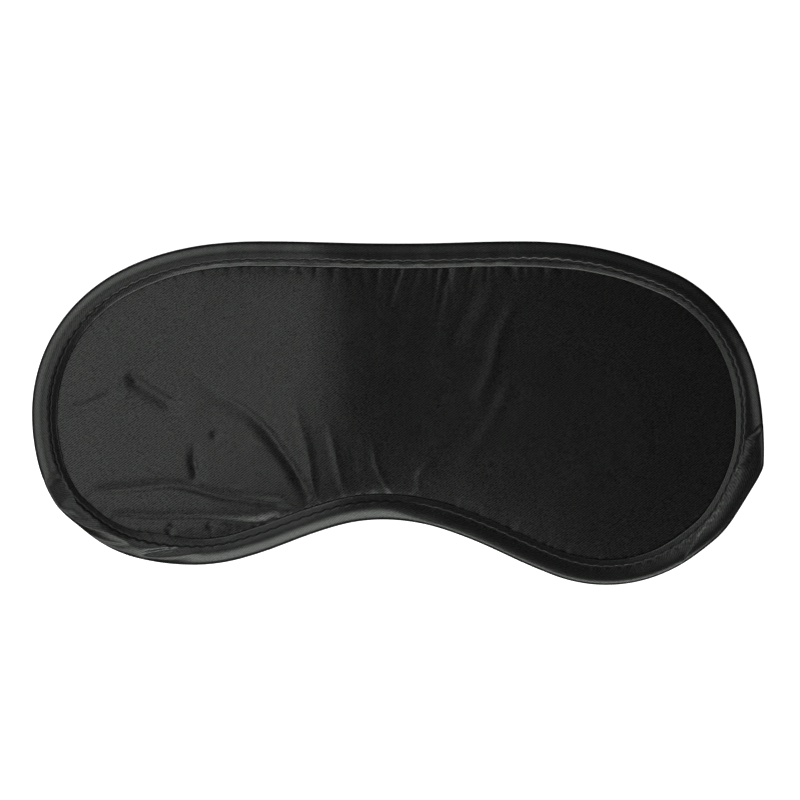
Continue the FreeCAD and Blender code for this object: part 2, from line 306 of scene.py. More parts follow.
LIP = 6.3  # distance of the binding's lip from the edge
LIP_COVER = 0.3  # the face starts to rise this far under the lip
SEAM_Z = 6.05  # height of the face's cloth where the stitches hold it
SEAM_RUN = 5.0  # how far in from the lip the binding's own bend reaches
PAD_RISE = 0.25  # how far the wadding lifts the face just inside the lip
PAD_RUN = 1.8  # and over what distance
BROAD_RISE = 2.4  # the rest of its crown
BROAD_RUN = 16.0  # and over what distance
LOWEST_FACE = 5.48  # the face never sinks into the layers under it
FOLD_RUN = 0.6  # the folds fade out over this distance from the lip
ROOF_CREST = -17.5  # x of the soft fold across the mask from its packing
ROOF_SLOPE = 0.085  # how steeply the face falls away on each side of that fold
ROOF_ROUND = 7.5  # how softly that fold turns over
ROOF_REACH = 27.0  # and how far from it the face goes on falling
ROOF_AT_LIP = 0.3  # the share of that fall which the face has next to the lip
BINDING_BEND = (0.10, 9.0)  # the packing fold's slope in the binding, and its reach
BINDING_CREST = 0.4  # how far it lifts the binding's front
UNEVEN = ((0.10, 2.0, 19.0), (0.03, 5.0, 5.0))  # the face's waves: height, seed and size

# Creases and ridges of the face: depth (below zero) or height, half width, how much wider the
# right-hand flank is, seen along the path, how wide its end is for its start, and the path.
FACE_FOLDS = {
    "long lobe crease": (-0.46, 1.5, 1.8, 0.6, [
        (-61.5, 18.4), (-53.8, 10.6), (-46.8, 4.7), (-39.6, 0.8), (-33.9, -4.4), (-30.0, -9.6),
        (-26.6, -14.7), (-23.4, -21.0)]),
    "lobe crease": (-0.46, 1.4, 1.6, 1.0, [(-71.0, 10.6), (-64.1, 5.9), (-55.1, 0.3)]),
    "cheek crease": (-0.32, 1.2, 1.6, 1.0, [(-87.6, 0.9), (-80.0, 2.2), (-72.0, 6.5)]),
    "short upright crease": (-0.38, 0.85, 1.6, 1.0, [
        (-52.3, -6.6), (-52.7, -12.7), (-52.1, -15.8), (-54.0, -19.0)]),
    "dimple": (-0.22, 1.1, 1.0, 1.0, [(-48.2, -4.6), (-46.4, -6.8)]),
    "upper edge fold": (-0.42, 1.8, 0.40, 1.0, [
        (-80.6, -20.7), (-69.3, -19.9), (-59.7, -18.9), (-53.8, -19.6), (-46.0, -21.7), (-37.0, -23.0),
        (-26.4, -24.2)]),
    "lower edge fold": (-0.42, 1.8, 0.40, 1.0, [
        (-75.0, -27.0), (-66.0, -28.0), (-58.9, -27.9), (-49.9, -27.9), (-37.0, -28.7), (-29.0, -26.6)]),
    "short fold": (-0.38, 0.75, 1.4, 1.0, [(-57.2, -28.0), (-60.0, -31.8)]),
    "short low fold": (-0.2, 0.8, 1.0, 1.0, [(-50.0, -29.0), (-47.0, -30.4)]),
    "lobe ridge": (0.24, 2.2, 0.6, 0.45, [(-28.3, 9.5), (-26.0, -1.5), (-23.6, -10.0), (-21.8, -21.4)]),
    "middle ridge": (0.17, 1.9, 0.6, 0.45, [(-18.8, 0.5), (-17.0, -7.8), (-14.2, -20.5)]),
    "nose valley": (-0.06, 1.3, 1.0, 0.7, [(-12.5, -5.0), (-11.5, -12.0), (-11.0, -19.5)]),
    "nose ridge": (0.15, 1.0, 0.8, 0.6, [(-6.6, -5.0), (-6.2, -9.3), (-5.4, -14.1), (-2.1, -20.6)]),
    "nose right ridge": (0.15, 1.1, 1.2, 0.6, [(14.0, -5.5), (8.3, -12.5), (5.5, -16.5), (5.5, -20.6)]),
    "brow long ridge": (0.13, 1.3, 1.3, 1.0, [(31.4, 31.0), (26.1, 19.4), (23.8, 9.8), (19.6, 2.2)]),
    "brow short ridge": (0.06, 1.2, 1.3, 1.0, [(25.6, 35.0), (21.7, 25.8), (17.2, 16.4)]),
    "brow valley": (-0.06, 1.4, 1.0, 1.0, [(21.7, 34.4), (16.3, 23.8), (13.2, 16.0)]),
    "right valley": (-0.05, 1.2, 1.0, 1.0, [(26.6, 8.6), (22.2, -0.8), (17.0, -7.5)]),
    "right ridge": (0.06, 1.3, 1.2, 1.0, [(29.2, 8.6), (24.6, -2.6), (16.6, -13.8)]),
}


PATH_STEPS = 14  # curve points for each point of a path


def across_path(xy, path):
    """For each place: its signed distance to the left of a path, and how far along it, 0 to 1."""
    line = spline(path, PATH_STEPS * len(path))
    gaps = np.hypot(xy[:, None, 0] - line[None, :, 0], xy[:, None, 1] - line[None, :, 1])
    nearest = np.argmin(gaps, axis=1)
    heading = np.gradient(line, axis=0)[nearest]
    offset = xy - line[nearest]
    left = np.sign(heading[:, 0] * offset[:, 1] - heading[:, 1] * offset[:, 0])
    return left * gaps[np.arange(len(xy)), nearest], nearest / (len(line) - 1)


LONG_FOLD = 14.0  # a longer fold starts and ends as quickly as one of this length


def fold_relief(xy, height, width, right_share, end_share, path):
    """A fold along a path: one flank longer than the other, and narrow and strong at its end if
    end_share is small, else deepest in its middle."""
    path_low, path_high = np.min(path, axis=0), np.max(path, axis=0)
    reach = 5.0 * width * max(1.0, right_share)
    near = np.all((xy > path_low - reach) & (xy < path_high + reach), axis=1)
    relief = np.zeros(len(xy))
    if not np.any(near):
        return relief
    signed, along = across_path(xy[near], path)
    local = width * (1.0 + (end_share - 1.0) * along)
    flank = np.where(signed < 0.0, local * right_share, local)
    length = np.sum(np.hypot(*np.diff(np.asarray(path), axis=0).T))
    if end_share < 1.0:
        fade = ease(along, 0.0, 0.7) * (1.0 - 0.5 * ease(along, 0.9, 1.0))
    else:
        end = 0.35 * min(length, LONG_FOLD)
        fade = ease(along * length, 0.0, end) * ease((1.0 - along) * length, 0.0, end)
    relief[near] = height * fade * hump(signed, flank)
    return relief


PUCKER_SPACING = 2.3
PUCKER_REACH = 24.0  # no gather goes further in than this
BROW = (7.0, 38.0)  # the middle of the seam's longest gathers
BROW_SPREAD = 19.0  # how far along the seam from there the gathers stay long


def seam_puckers(distance, along):
    """Short uneven gathers that run in from the stitches, longer along the brow."""
    chance = np.random.default_rng(11)
    inside = np.maximum(distance - LIP, 0.0)
    near = inside < PUCKER_REACH
    relief = np.zeros(len(distance))
    brow_at = ring_at(*BROW)
    for place in np.arange(0.0, ring_length, PUCKER_SPACING):
        start = place + chance.uniform(-1.1, 1.1)
        brow = hump(ring_gap(start, brow_at), BROW_SPREAD)
        length = chance.uniform(0.7, 1.8) + brow * chance.uniform(0.5, 6.0)
        depth = chance.uniform(0.03, 0.22) * (1.0 + 0.5 * brow)
        width = chance.uniform(0.45, 0.9)
        slant = chance.uniform(-0.3, 0.3)
        gap = ring_gap(along[near], start + slant * inside[near])
        relief[near] -= depth * hump(gap, width) * np.exp(-inside[near] / length)
    return relief


def bend(x, slope, reach):
    """How far the packing fold lets something fall on both its sides."""
    away = np.sqrt((x - ROOF_CREST) ** 2 + ROOF_ROUND**2) - ROOF_ROUND
    return -slope * reach * np.tanh(away / reach)


def face_height(xy):
    distance, along = ring_distance(xy)
    inside = np.maximum(distance - LIP + LIP_COVER, 0.0)
    held = 1.0 - np.exp(-inside / PAD_RUN)
    broad = 1.0 - np.exp(-inside / BROAD_RUN)
    free = 1.0 - np.exp(-inside / FOLD_RUN)
    fall = bend(xy[:, 0], ROOF_SLOPE, ROOF_REACH) * (ROOF_AT_LIP + (1.0 - ROOF_AT_LIP) * broad) * held
    seam = SEAM_Z + BINDING_CREST + bend(xy[:, 0], *BINDING_BEND) * np.exp(-inside / SEAM_RUN)
    height = seam + PAD_RISE * held + BROAD_RISE * broad + fall
    relief = seam_puckers(distance, along)
    for fold in FACE_FOLDS.values():
        relief += fold_relief(xy, *fold) * free
    for rise, seed, size in UNEVEN:
        relief += rise * field_wander(xy, seed, size) * held
    return np.maximum(height + relief, LOWEST_FACE)


# ---- materials


class Nodes:
    """A small helper that builds a material's node tree."""

    def __init__(self, name):
        self.material = bpy.data.materials.new(name)
        self.material.use_nodes = True
        self.tree = self.material.node_tree
        self.shader = self.tree.nodes["Principled BSDF"]

    def node(self, kind, **settings):
        made = self.tree.nodes.new(kind)
        for key, value in settings.items():
            if key in made.inputs:
                made.inputs[key].default_value = value
            else:
                setattr(made, key, value)
        return made

    def join(self, out, into):
        self.tree.links.new(out, into)

    def place(self, kind):
        return self.node("ShaderNodeTexCoord").outputs[kind]

    def math(self, operation, a, b):
        made = self.node("ShaderNodeMath", operation=operation)
        for socket, value in zip(made.inputs, (a, b)):
            if isinstance(value, (int, float)):
                socket.default_value = value
            else:
                self.join(value, socket)
        return made.outputs[0]

    def total(self, a, b):
        return self.math("ADD", a, b)

    def times(self, a, b):
        return self.math("MULTIPLY", a, b)

    def noise(self, vector, scale, detail=2.0):
        made = self.node("ShaderNodeTexNoise", Scale=scale, Detail=detail)
        self.join(vector, made.inputs["Vector"])
        return made.outputs["Fac"]

    def mapped(self, vector, rotation=0.0, scale=(1.0, 1.0, 1.0)):
        made = self.node("ShaderNodeMapping")
        made.inputs["Rotation"].default_value = (0.0, 0.0, rotation)
        made.inputs["Scale"].default_value = scale
        self.join(vector, made.inputs["Vector"])
        return made.outputs[0]

    def stripes(self, vector, pitch, direction="X", distortion=0.0):
        """Parallel lines, pitch millimetres apart."""
        scale = math.pi / (10.0 * pitch * MM)
        made = self.node("ShaderNodeTexWave", Scale=scale, Distortion=distortion)
        made.bands_direction = direction
        self.join(vector, made.inputs["Vector"])
        return made.outputs["Fac"]

    def threads(self, vector, length, width, rotation=0.0):
        """Short streaks of uneven thread, their size in millimetres."""
        turned = self.mapped(vector, rotation)
        thin = 1.0 / (width * MM)
        stretched = self.mapped(turned, 0.0, (1.0 / (length * MM), thin, thin))
        return self.noise(stretched, 1.0, 1.0)

    def remap(self, value, low, high, wanted_low, wanted_high):
        made = self.node("ShaderNodeMapRange")
        for socket, number in zip(made.inputs[1:5], (low, high, wanted_low, wanted_high)):
            socket.default_value = number
        self.join(value, made.inputs[0])
        return made.outputs[0]

    def colour(self, factor, dark, light):
        """Colours the surface from dark, where the factor is 0, to light, where it is 1."""
        made = self.node("ShaderNodeMix", data_type="RGBA")
        made.inputs[6].default_value = (*dark, 1.0)
        made.inputs[7].default_value = (*light, 1.0)
        self.join(factor, made.inputs[0])
        self.join(made.outputs[2], self.shader.inputs["Base Color"])

    def bump(self, height, distance, strength):
        made = self.node("ShaderNodeBump", Strength=strength, Distance=distance)
        self.join(height, made.inputs["Height"])
        self.join(made.outputs[0], self.shader.inputs["Normal"])

    def set(self, **values):
        for key, value in values.items():
            self.shader.inputs[key.replace("_", " ")].default_value = value


TWILL_PITCH = 0.52
TWILL_ANGLE = math.radians(53.0)
FLOAT_LENGTH, FLOAT_WIDTH = 0.55, 0.34
FLOAT_ANGLE = math.radians(-6.0)
FLOAT_SHARE = 0.95  # how strongly the single threads vary
RIB_PITCH = 0.86  # spacing of the elastic's rib colours


def satin(name, dark, light, roughness, twill_share, axes="Object"):
    """Black satin: short bright floats in fine twill lines, which colour its highlight."""
    nodes = Nodes(name)
    place = nodes.place(axes)
    twill = nodes.stripes(nodes.mapped(place, TWILL_ANGLE), TWILL_PITCH, distortion=0.15)
    floats = nodes.threads(place, FLOAT_LENGTH, FLOAT_WIDTH, FLOAT_ANGLE)
    weave = nodes.total(nodes.times(twill, twill_share), nodes.times(floats, FLOAT_SHARE))
    middle = (twill_share + FLOAT_SHARE) / 2
    nodes.colour(nodes.remap(weave, middle - 0.5, middle + 0.5, 0.0, 1.0), dark, light)
    uneven = nodes.total(floats, nodes.times(nodes.noise(place, 110.0), 0.5))
    rough = nodes.remap(uneven, 0.3, 1.2, roughness - 0.03, roughness + 0.05)
    nodes.join(rough, nodes.shader.inputs["Roughness"])
    nodes.bump(weave, 0.00001, 0.8)
    nodes.set(Metallic=0.9)
    return nodes.material


def plain_weave(name, dark, light, pitch, bump=0.00005, sheen=0.1):
    """A plain weave: crossed threads with a matt grain."""
    nodes = Nodes(name)
    place = nodes.place("Object")
    crossed = nodes.times(nodes.stripes(place, pitch), nodes.stripes(place, pitch, "Y"))
    weave = nodes.total(crossed, nodes.noise(place, 2600.0, 3.0))
    nodes.colour(nodes.remap(weave, 0.4, 1.4, 0.0, 1.0), dark, light)
    nodes.bump(weave, bump, 0.7)
    nodes.set(Roughness=0.85, Specular_IOR_Level=0.3, Sheen_Weight=sheen, Sheen_Roughness=0.5)
    return nodes.material


def twisted_thread(name, dark, light, roughness=0.5):
    """Thread or fibre: fine uneven plies over a slower change of tone."""
    nodes = Nodes(name)
    place = nodes.place("Object")
    ply = nodes.total(nodes.noise(place, 4000.0), nodes.times(nodes.noise(place, 900.0), 0.5))
    nodes.colour(nodes.remap(ply, 0.4, 1.1, 0.0, 1.0), dark, light)
    nodes.bump(ply, 0.00005, 0.6)
    nodes.set(Roughness=roughness, Specular_IOR_Level=0.45, Sheen_Weight=0.15)
    return nodes.material


def ribbed_elastic(name, dark, light):
    """Elastic tape: covered rubber ribs along its length, crossed by a fine weft."""
    nodes = Nodes(name)
    place = nodes.place("UV")
    weft = nodes.times(nodes.stripes(place, 0.62, distortion=0.4), 0.6)
    yarn = nodes.times(nodes.threads(place, 0.35, 0.12), 0.8)
    rib = nodes.times(nodes.stripes(place, RIB_PITCH, "Y"), 0.3)
    weave = nodes.total(nodes.total(weft, yarn), rib)
    nodes.colour(nodes.remap(weave, 0.4, 1.4, 0.0, 1.0), dark, light)
    nodes.bump(weave, 0.00010, 0.8)
    nodes.set(Roughness=0.7, Specular_IOR_Level=0.4, Sheen_Weight=0.2, Sheen_Roughness=0.5)
    return nodes.material


face_satin = satin("face_satin", (0.002, 0.002, 0.002), (0.104, 0.109, 0.104), 0.29, 0.5)
binding_satin = satin(
    "binding_satin", (0.004, 0.0042, 0.004), (0.098, 0.103, 0.098), 0.31, 0.32, axes="UV")
sewing_thread = twisted_thread("sewing_thread", (0.004, 0.004, 0.004), (0.012, 0.012, 0.012))
lining_cloth = plain_weave("lining_cloth", (0.010, 0.010, 0.011), (0.024, 0.024, 0.026), 0.5)
blackout_cloth = plain_weave("blackout_cloth", (0.006, 0.006, 0.006), (0.014, 0.014, 0.014), 0.3)
wadding_fibre = plain_weave("wadding_fibre", (0.62, 0.62, 0.60), (0.82, 0.82, 0.80), 1.1, 0.0002, 0.3)
elastic_weave = ribbed_elastic("elastic_weave", (0.007, 0.007, 0.007), (0.024, 0.024, 0.024))
hook_nylon = twisted_thread("hook_nylon", (0.008, 0.008, 0.009), (0.022, 0.022, 0.024), 0.38)
loop_pile = twisted_thread("loop_pile", (0.006, 0.006, 0.006), (0.020, 0.020, 0.021), 0.6)


def finish_piece(piece, material, body, replaced):
    piece.data.materials.append(material)
    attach(piece, body)
    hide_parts(replaced)


# ---- layers of the mask

FACE_SPACING = 0.55
CLOTH_THICK = 0.25  # thickness of the face's and the lining's cloth
FACE_INSET = 3.4  # how far inside the mask's edge the face panel's own edge lies
PAD_INSET, PAD_SPACING = 2.6, 1.2
PAD_UNDER_FACE = 0.9
PAD_BOTTOM, LOWEST_PAD = 5.15, 5.2
BACK_INSET, BACK_SPACING = 2.8, 1.0
LINING_SEAM_Z = 4.62
LINING_SAG, SAG_RUN = 0.35, 6.0
BACK_PUCKER, BACK_PUCKER_PITCH, BACK_PUCKER_RUN = 0.08, 3.3, 3.0
BLACKOUT_GAP = 0.28  # from the lining's underside to the blackout layer's
BLACKOUT_TOP = 5.12


def face_and_wadding():
    plan = sheet_plan(FACE_INSET, FACE_SPACING)
    top = face_height(plan[0])
    face = cloth_slab("face_panel_satin", plan, top, top - CLOTH_THICK)
    finish_piece(face, face_satin, "mask", "face_panel")

    plan = sheet_plan(PAD_INSET, PAD_SPACING)
    top = np.maximum(face_height(plan[0]) - PAD_UNDER_FACE, LOWEST_PAD)
    pad = cloth_slab("wadding_pad", plan, top, np.full(len(top), PAD_BOTTOM))
    finish_piece(pad, wadding_fibre, "mask", "wadding")


def back_layers():
    plan = sheet_plan(BACK_INSET, BACK_SPACING)
    distance, along = ring_distance(plan[0])
    inside = np.maximum(distance - LIP, 0.0)
    sag = LINING_SAG * (1.0 - np.exp(-inside / SAG_RUN))
    waves = np.cos(2 * math.pi * along / BACK_PUCKER_PITCH)
    puckers = BACK_PUCKER * waves * np.exp(-inside / BACK_PUCKER_RUN)
    bottom = LINING_SEAM_Z - sag + puckers + 0.1 * field_wander(plan[0], 11.0, 9.0)
    lining = cloth_slab("lining_cloth_panel", plan, bottom + CLOTH_THICK, bottom)
    finish_piece(lining, lining_cloth, "mask", "lining_panel")

    top = np.full(len(bottom), BLACKOUT_TOP)
    blackout = cloth_slab("blackout_cloth_layer", plan, top, bottom + BLACKOUT_GAP)
    finish_piece(blackout, blackout_cloth, "mask", "blackout_layer")


# ---- binding

# The binding's cloth from its front hem, round the lip, over the edge and back to its rear hem:
# distance from the edge, height. Between the stitches and the edge its front has three forms.
FRONT_HEM = [
    (3.0, 6.50), (4.8, 6.40), (6.0, 6.22), (6.52, 6.32), (6.45, 6.54), (5.9, 6.76), (5.4, 6.94),
    (5.05, 6.97),
]
PUFFED_FRONT = [
    (4.80, 6.90), (4.74, 7.38), (4.60, 7.65), (4.20, 7.75), (3.3, 7.70), (2.3, 7.42), (1.3, 6.95),
    (0.5, 6.38), (0.08, 5.7),
]
LOW_FRONT = [  # from the right strap round to the nose
    (4.80, 6.90), (4.72, 6.97), (4.40, 7.08), (3.7, 7.30), (2.8, 7.54), (2.0, 7.66), (1.2, 7.60),
    (0.45, 7.26), (0.08, 6.3),
]
PRESSED_FRONT = [  # by the left strap
    (4.80, 6.86), (4.72, 6.87), (4.40, 6.89), (3.7, 6.97), (2.8, 7.09), (2.0, 7.20), (1.2, 7.31),
    (0.5, 7.36), (0.08, 6.7),
]
BACK = [
    (0.05, 4.95), (0.45, 3.95), (1.4, 3.2), (2.7, 2.95), (3.9, 3.15), (4.6, 3.45), (4.95, 3.66),
    (5.3, 3.55), (5.8, 3.32), (6.25, 3.38), (6.45, 3.66), (6.1, 3.98), (4.8, 4.12), (3.0, 4.1),
]
BINDING_ROWS = 84
BINDING_CLOTH = 0.22  # thickness of the binding's cloth
GROOVE = 4.95  # distance of the stitches from the edge
STITCH_PITCH = ring_length / STITCHES

# Folds of the binding where the straps are sewn in, as in FACE_FOLDS.
BINDING_FOLDS = {
    "left twist ridge": (0.50, 0.7, 1.3, 1.0, [
        (-93.0, -21.6), (-89.0, -24.6), (-85.7, -26.9), (-80.9, -29.1), (-73.5, -31.0), (-68.3, -32.8)]),
    "left twist valley": (-0.40, 0.8, 1.4, 1.0, [
        (-86.0, -28.4), (-80.5, -31.4), (-74.0, -33.6), (-68.0, -34.6)]),
    "lower pleat": (-0.75, 0.5, 1.5, 1.0, [(-68.6, -36.7), (-60.2, -35.4), (-54.0, -34.0), (-49.0, -32.6)]),
    "lower pleat swell": (0.30, 1.1, 1.0, 1.0, [(-66.0, -38.2), (-58.0, -37.4), (-50.0, -35.4)]),
    "right fold ridge": (0.22, 0.9, 1.2, 1.0, [(93.6, -4.4), (91.9, -8.4), (89.6, -12.4), (86.4, -17.2)]),
}
OVERLAP_EDGE = [(95.6, -0.6), (92.6, -4.6), (90.2, -7.3), (89.3, -11.2)]  # where one ply ends on another
OVERLAP_STEP = 0.45  # how far the upper ply stands above the lower one
OVERLAP_FADE = 12.0  # and over what distance that step dies away
OVERLAP_SIDE = 0.2  # half the width over which one ply gives way to the other
OVERLAP_NEAR = 50.0  # its step is worked out only this near to it
LOW_STRETCH = ((92.6, -4.6), (-5.0, -27.0))  # where the binding has its low front
LOW_START_RUN, LOW_END_RUN = 0.5, 15.0
HOLLOW = (-89.0, -21.5)  # where it has its pressed front
HOLLOW_REACH, HOLLOW_RUN = 6.6, 4.2
NARROW_LIP, WIDE_LIP = (-77.0, -27.5), (-60.0, -31.5)
LIP_SPREAD = 7.0  # how far along the lip those two changes of width reach
WIDE_WAVE, FINE_WAVE, DRAG_WAVE = 24.0, 7.0, 2.6  # lengths of the cloth's waves
STRAP_SPREAD = 6.0  # how far along the edge a sewn-in strap swells the binding's back
FRONT_HEIGHTS = (5.0, 6.2)  # between these heights the cloth's back gives way to its front
LIP_START = (5.2, 6.2)  # between these distances from the edge its lip begins
TUBE_RUN = 1.2  # its outer part wavers fully from this far out of the stitches
BULGE_END, BULGE_RUN = 5.2, 4.4  # where a bulge of the outline ends, and over what distance
FOLDS_END, FOLDS_RUN = 4.9, 1.6  # the same for the folds
SCALLOP, SCALLOP_AT = 0.15, 4.55  # how far each stitch shifts the cloth, and where


def outline_bulge():
    """From each ring point to the bound outline across it, outwards."""
    _, nearest = nearest_points(bound_ring, ring)
    return np.maximum(np.sum((bound_ring[nearest] - ring) * -ring_in, axis=1), 0.0)


def overlap_path():
    """The overlap's edge, carried on along the stitches."""
    last = int(np.argmin(np.hypot(*(ring - np.array(OVERLAP_EDGE[-1])).T)))
    stitches = (ring + ring_in * GROOVE)[last + 2 * STEPS: last + 7 * STEPS: STEPS]
    return OVERLAP_EDGE + [tuple(point) for point in stitches]


def ply_share(below):
    """0 on one side of the overlap's edge and 1 on the other."""
    return ease(below, -OVERLAP_SIDE, OVERLAP_SIDE)


def root_folds(xy):
    """What the folds by the strap roots add to the binding's front."""
    relief = np.zeros(len(xy))
    for fold in BINDING_FOLDS.values():
        relief += fold_relief(xy, *fold)
    near = np.hypot(*(xy - np.array(OVERLAP_EDGE[1])).T) < OVERLAP_NEAR
    below, _ = across_path(xy[near], overlap_path())
    relief[near] += OVERLAP_STEP * ply_share(below) * np.exp(-np.maximum(below, 0.0) / OVERLAP_FADE)
    return relief


def front_profile(front):
    return spline(FRONT_HEM + front + BACK, BINDING_ROWS)


def low_share(puffed):
    """1 where the binding has its low front, 0 where it is puffed."""
    low_start, low_end = (ring_at(*place) for place in LOW_STRETCH)
    start = ease(ring_gap(arc, low_start), 0.0, LOW_START_RUN)
    end = ease(ring_gap(low_end, arc), 0.0, LOW_END_RUN)
    share = np.repeat((start * end)[:, None], BINDING_ROWS, axis=1)
    # By the overlap, each place's side of the overlap's slanting edge decides instead.
    turning = np.abs(ring_gap(arc, low_start)) < OVERLAP_FADE
    cloth = ring[turning, None, :] + ring_in[turning, None, :] * puffed[None, :, :1]
    below, _ = across_path(cloth.reshape(-1, 2), overlap_path())
    share[turning] = ply_share(below).reshape(-1, BINDING_ROWS)
    return share[:, :, None]


def binding_sections(puffed):
    """The binding's profile at each place along the ring: distance from the edge, height."""
    low = low_share(puffed)
    section = puffed * (1.0 - low) + front_profile(LOW_FRONT) * low
    away = np.abs(ring_gap(arc, ring_at(*HOLLOW)))[:, None, None]
    hollow = ease(HOLLOW_REACH - away, 0.0, HOLLOW_RUN)
    section = section * (1.0 - hollow) + front_profile(PRESSED_FRONT) * hollow
    return section[:, :, 0], section[:, :, 1]


def binding_points(puffed):
    """The binding's cloth: one row of points for each place along the ring."""
    inset, height = binding_sections(puffed)
    front = ease(height, *FRONT_HEIGHTS)
    tube = ease(GROOVE - inset, 0.0, TUBE_RUN)
    lip = ease(inset, *LIP_START)
    wide = ring_wander(1.0, WIDE_WAVE)[:, None]
    fine = ring_wander(4.0, FINE_WAVE)[:, None]
    drag = ring_wander(9.0, DRAG_WAVE)[:, None]
    along = arc[:, None]
    stitch = np.cos(2 * math.pi * along / STITCH_PITCH)
    wider = 0.9 * hump(ring_gap(along, ring_at(*WIDE_LIP)), LIP_SPREAD)
    narrower = 0.4 * hump(ring_gap(along, ring_at(*NARROW_LIP)), LIP_SPREAD)

    shift = -outline_bulge()[:, None] * ease(BULGE_END - inset, 0.0, BULGE_RUN)
    shift += 0.20 * wide * lip + 0.10 * fine * ease(inset, 5.6, 6.4) + 0.05 * drag * lip
    shift += front * lip * (wider - narrower)
    shift += SCALLOP * stitch * hump(inset - SCALLOP_AT, 0.4)
    lift = tube * (0.20 * wide + 0.10 * fine + 0.03 * drag)
    lift -= 0.04 * stitch * hump(inset - GROOVE, 0.35)
    lift += 0.04 * drag * ease(inset, 5.3, 5.9)
    z = height + np.where(front > 0.5, lift, -lift)
    for joint in frame["joints"]:
        root = hump(ring_gap(along, ring_at(*np.array(joint["pos_m"][:2]) / MM)), STRAP_SPREAD)
        swell = 0.30 + 0.35 * ease(height, 3.7, 4.0)
        z -= (1.0 - front) * root * swell * ease(inset, 0.4, 1.5)

    xy = ring[:, None, :] + ring_in[:, None, :] * (inset + shift)[:, :, None]
    folds = root_folds(xy.reshape(-1, 2)).reshape(z.shape)
    z += folds * front * ease(FOLDS_END - inset, 0.0, FOLDS_RUN) * ease(inset, -0.1, 0.9)
    z += front * (bend(xy[:, :, 0], *BINDING_BEND) + BINDING_CREST)
    return np.dstack([xy, z[:, :, None]]).reshape(-1, 3)


def edge_binding():
    puffed = front_profile(PUFFED_FRONT)
    faces = hoop_faces(RING_COUNT, BINDING_ROWS)
    binding = make_object("binding_satin_tape", binding_points(puffed), faces)
    across = np.concatenate([[0.0], np.cumsum(np.hypot(*np.diff(puffed, axis=0).T))])
    along = np.repeat(arc, BINDING_ROWS)
    set_uvs(binding, np.column_stack([along, np.tile(across, RING_COUNT)]))
    thick = binding.modifiers.new("cloth", "SOLIDIFY")
    thick.thickness = BINDING_CLOTH * MM
    thick.offset = -1.0
    finish_piece(binding, binding_satin, "mask", "binding_tape")


def set_uvs(thing, places):
    """Gives each face corner its own point's place on the flat cloth."""
    loops = np.zeros(len(thing.data.loops), dtype=int)
    thing.data.loops.foreach_get("vertex_index", loops)
    layer = thing.data.uv_layers.new(name="tape")
    layer.data.foreach_set("uv", (places * MM)[loops].ravel())


THREAD_RADIUS = 0.14
STITCH_FILL = 0.40  # half a stitch's length, as a share of the pitch
STITCH_SLANT = 0.05  # how far each end of a stitch lies off the row's line
STITCH_DIVE = 0.26  # how far its ends sink into the cloth
NEEDLE_Z, BOBBIN_Z = 6.90, 3.56


def thread_radii(t, blunt):
    """A stitch's radius at places t from -1 to 1 along it: even, with rounded ends."""
    return THREAD_RADIUS * np.sqrt(np.maximum(1.0 - np.abs(t) ** 5, blunt))


def thread_row(name, height, out):
    """A row of stitches, each a rounded bar: on the front where out is 1, on the back where it is -1."""
    row = Solid()
    t = np.linspace(-1.0, 1.0, 9)
    steps = np.arange(-STEPS, RING_COUNT + STEPS)
    wrapped = np.pad(ring, ((STEPS, STEPS), (0, 0)), mode="wrap")
    for number in range(STITCHES):
        centre = number * STEPS + STEPS // 2
        places = centre + t * STITCH_FILL * STEPS
        inward = ring_in[centre]
        across = GROOVE + STITCH_SLANT * t * out
        x = np.interp(places, steps, wrapped[:, 0]) + inward[0] * across
        y = np.interp(places, steps, wrapped[:, 1]) + inward[1] * across
        z = height - out * STITCH_DIVE * np.abs(t) ** 3
        if out > 0:
            z += BINDING_CREST + bend(x, *BINDING_BEND)
        row.bar(np.column_stack([x, y, z]), thread_radii(t, 0.03), (*inward, 0.0))
    return row.make(name)


def binding_threads():
    needle = thread_row("needle_thread", NEEDLE_Z, 1.0)
    finish_piece(needle, sewing_thread, "mask", "binding_needle_stitches")
    bobbin = thread_row("bobbin_thread", BOBBIN_Z, -1.0)
    finish_piece(bobbin, sewing_thread, "mask", "binding_bobbin_stitches")


# ---- straps

RIBS = 13
RIB_STEPS = 5
RIB_HEIGHT = 0.07
DROP_START, DROP_END = -0.9, 3.4  # where a strap leaves the binding and where it lies flat
BEND_START, BEND_END = -0.3, 3.0  # two places along the strap near its hinge, worked out but not used: the tape does not turn with its joint
CLOSE_END, CLOSE_STEP, FREE_STEP = 6.0, 0.18, 0.6  # its rows are closer together up to CLOSE_END
LOOSE_LIFT, LOOSE_SWAY = 0.13, 0.35  # how far its free length wanders up and sideways
PATCHES = {"left": "loop_patch", "right": "hook_patch"}


class StrapFrame:
    """Places along (u), across (v) and above a strap, from its joint's hinge."""

    def __init__(self, side):
        joint = next(j for j in frame["joints"] if j["name"] == f"{side}_strap_swing")
        across_x, across_y, _ = joint["axis"]
        self.side = side
        self.sign = 1.0 if side == "left" else -1.0
        self.body = f"{side}_strap"
        self.hinge = np.array((*joint["pos_m"][:2], 0.0)) / MM
        self.across = np.array((across_x, across_y, 0.0))
        self.along = np.array((across_y, -across_x, 0.0))

    def span(self, node):
        """A CAD node's lowest and highest u, v and z."""
        mesh = frame["nodes"][node].data
        places = np.array([vert.co for vert in mesh.vertices]) / MM - self.hinge
        local = np.column_stack([places @ self.along, places @ self.across, places[:, 2]])
        return local.min(axis=0), local.max(axis=0)

    def place(self, u, v, z):
        u, v, z = np.broadcast_arrays(*(np.asarray(a, float) for a in (u, v, z)))
        flat = self.hinge + u[..., None] * self.along + v[..., None] * self.across
        return flat + z[..., None] * np.array((0.0, 0.0, 1.0))


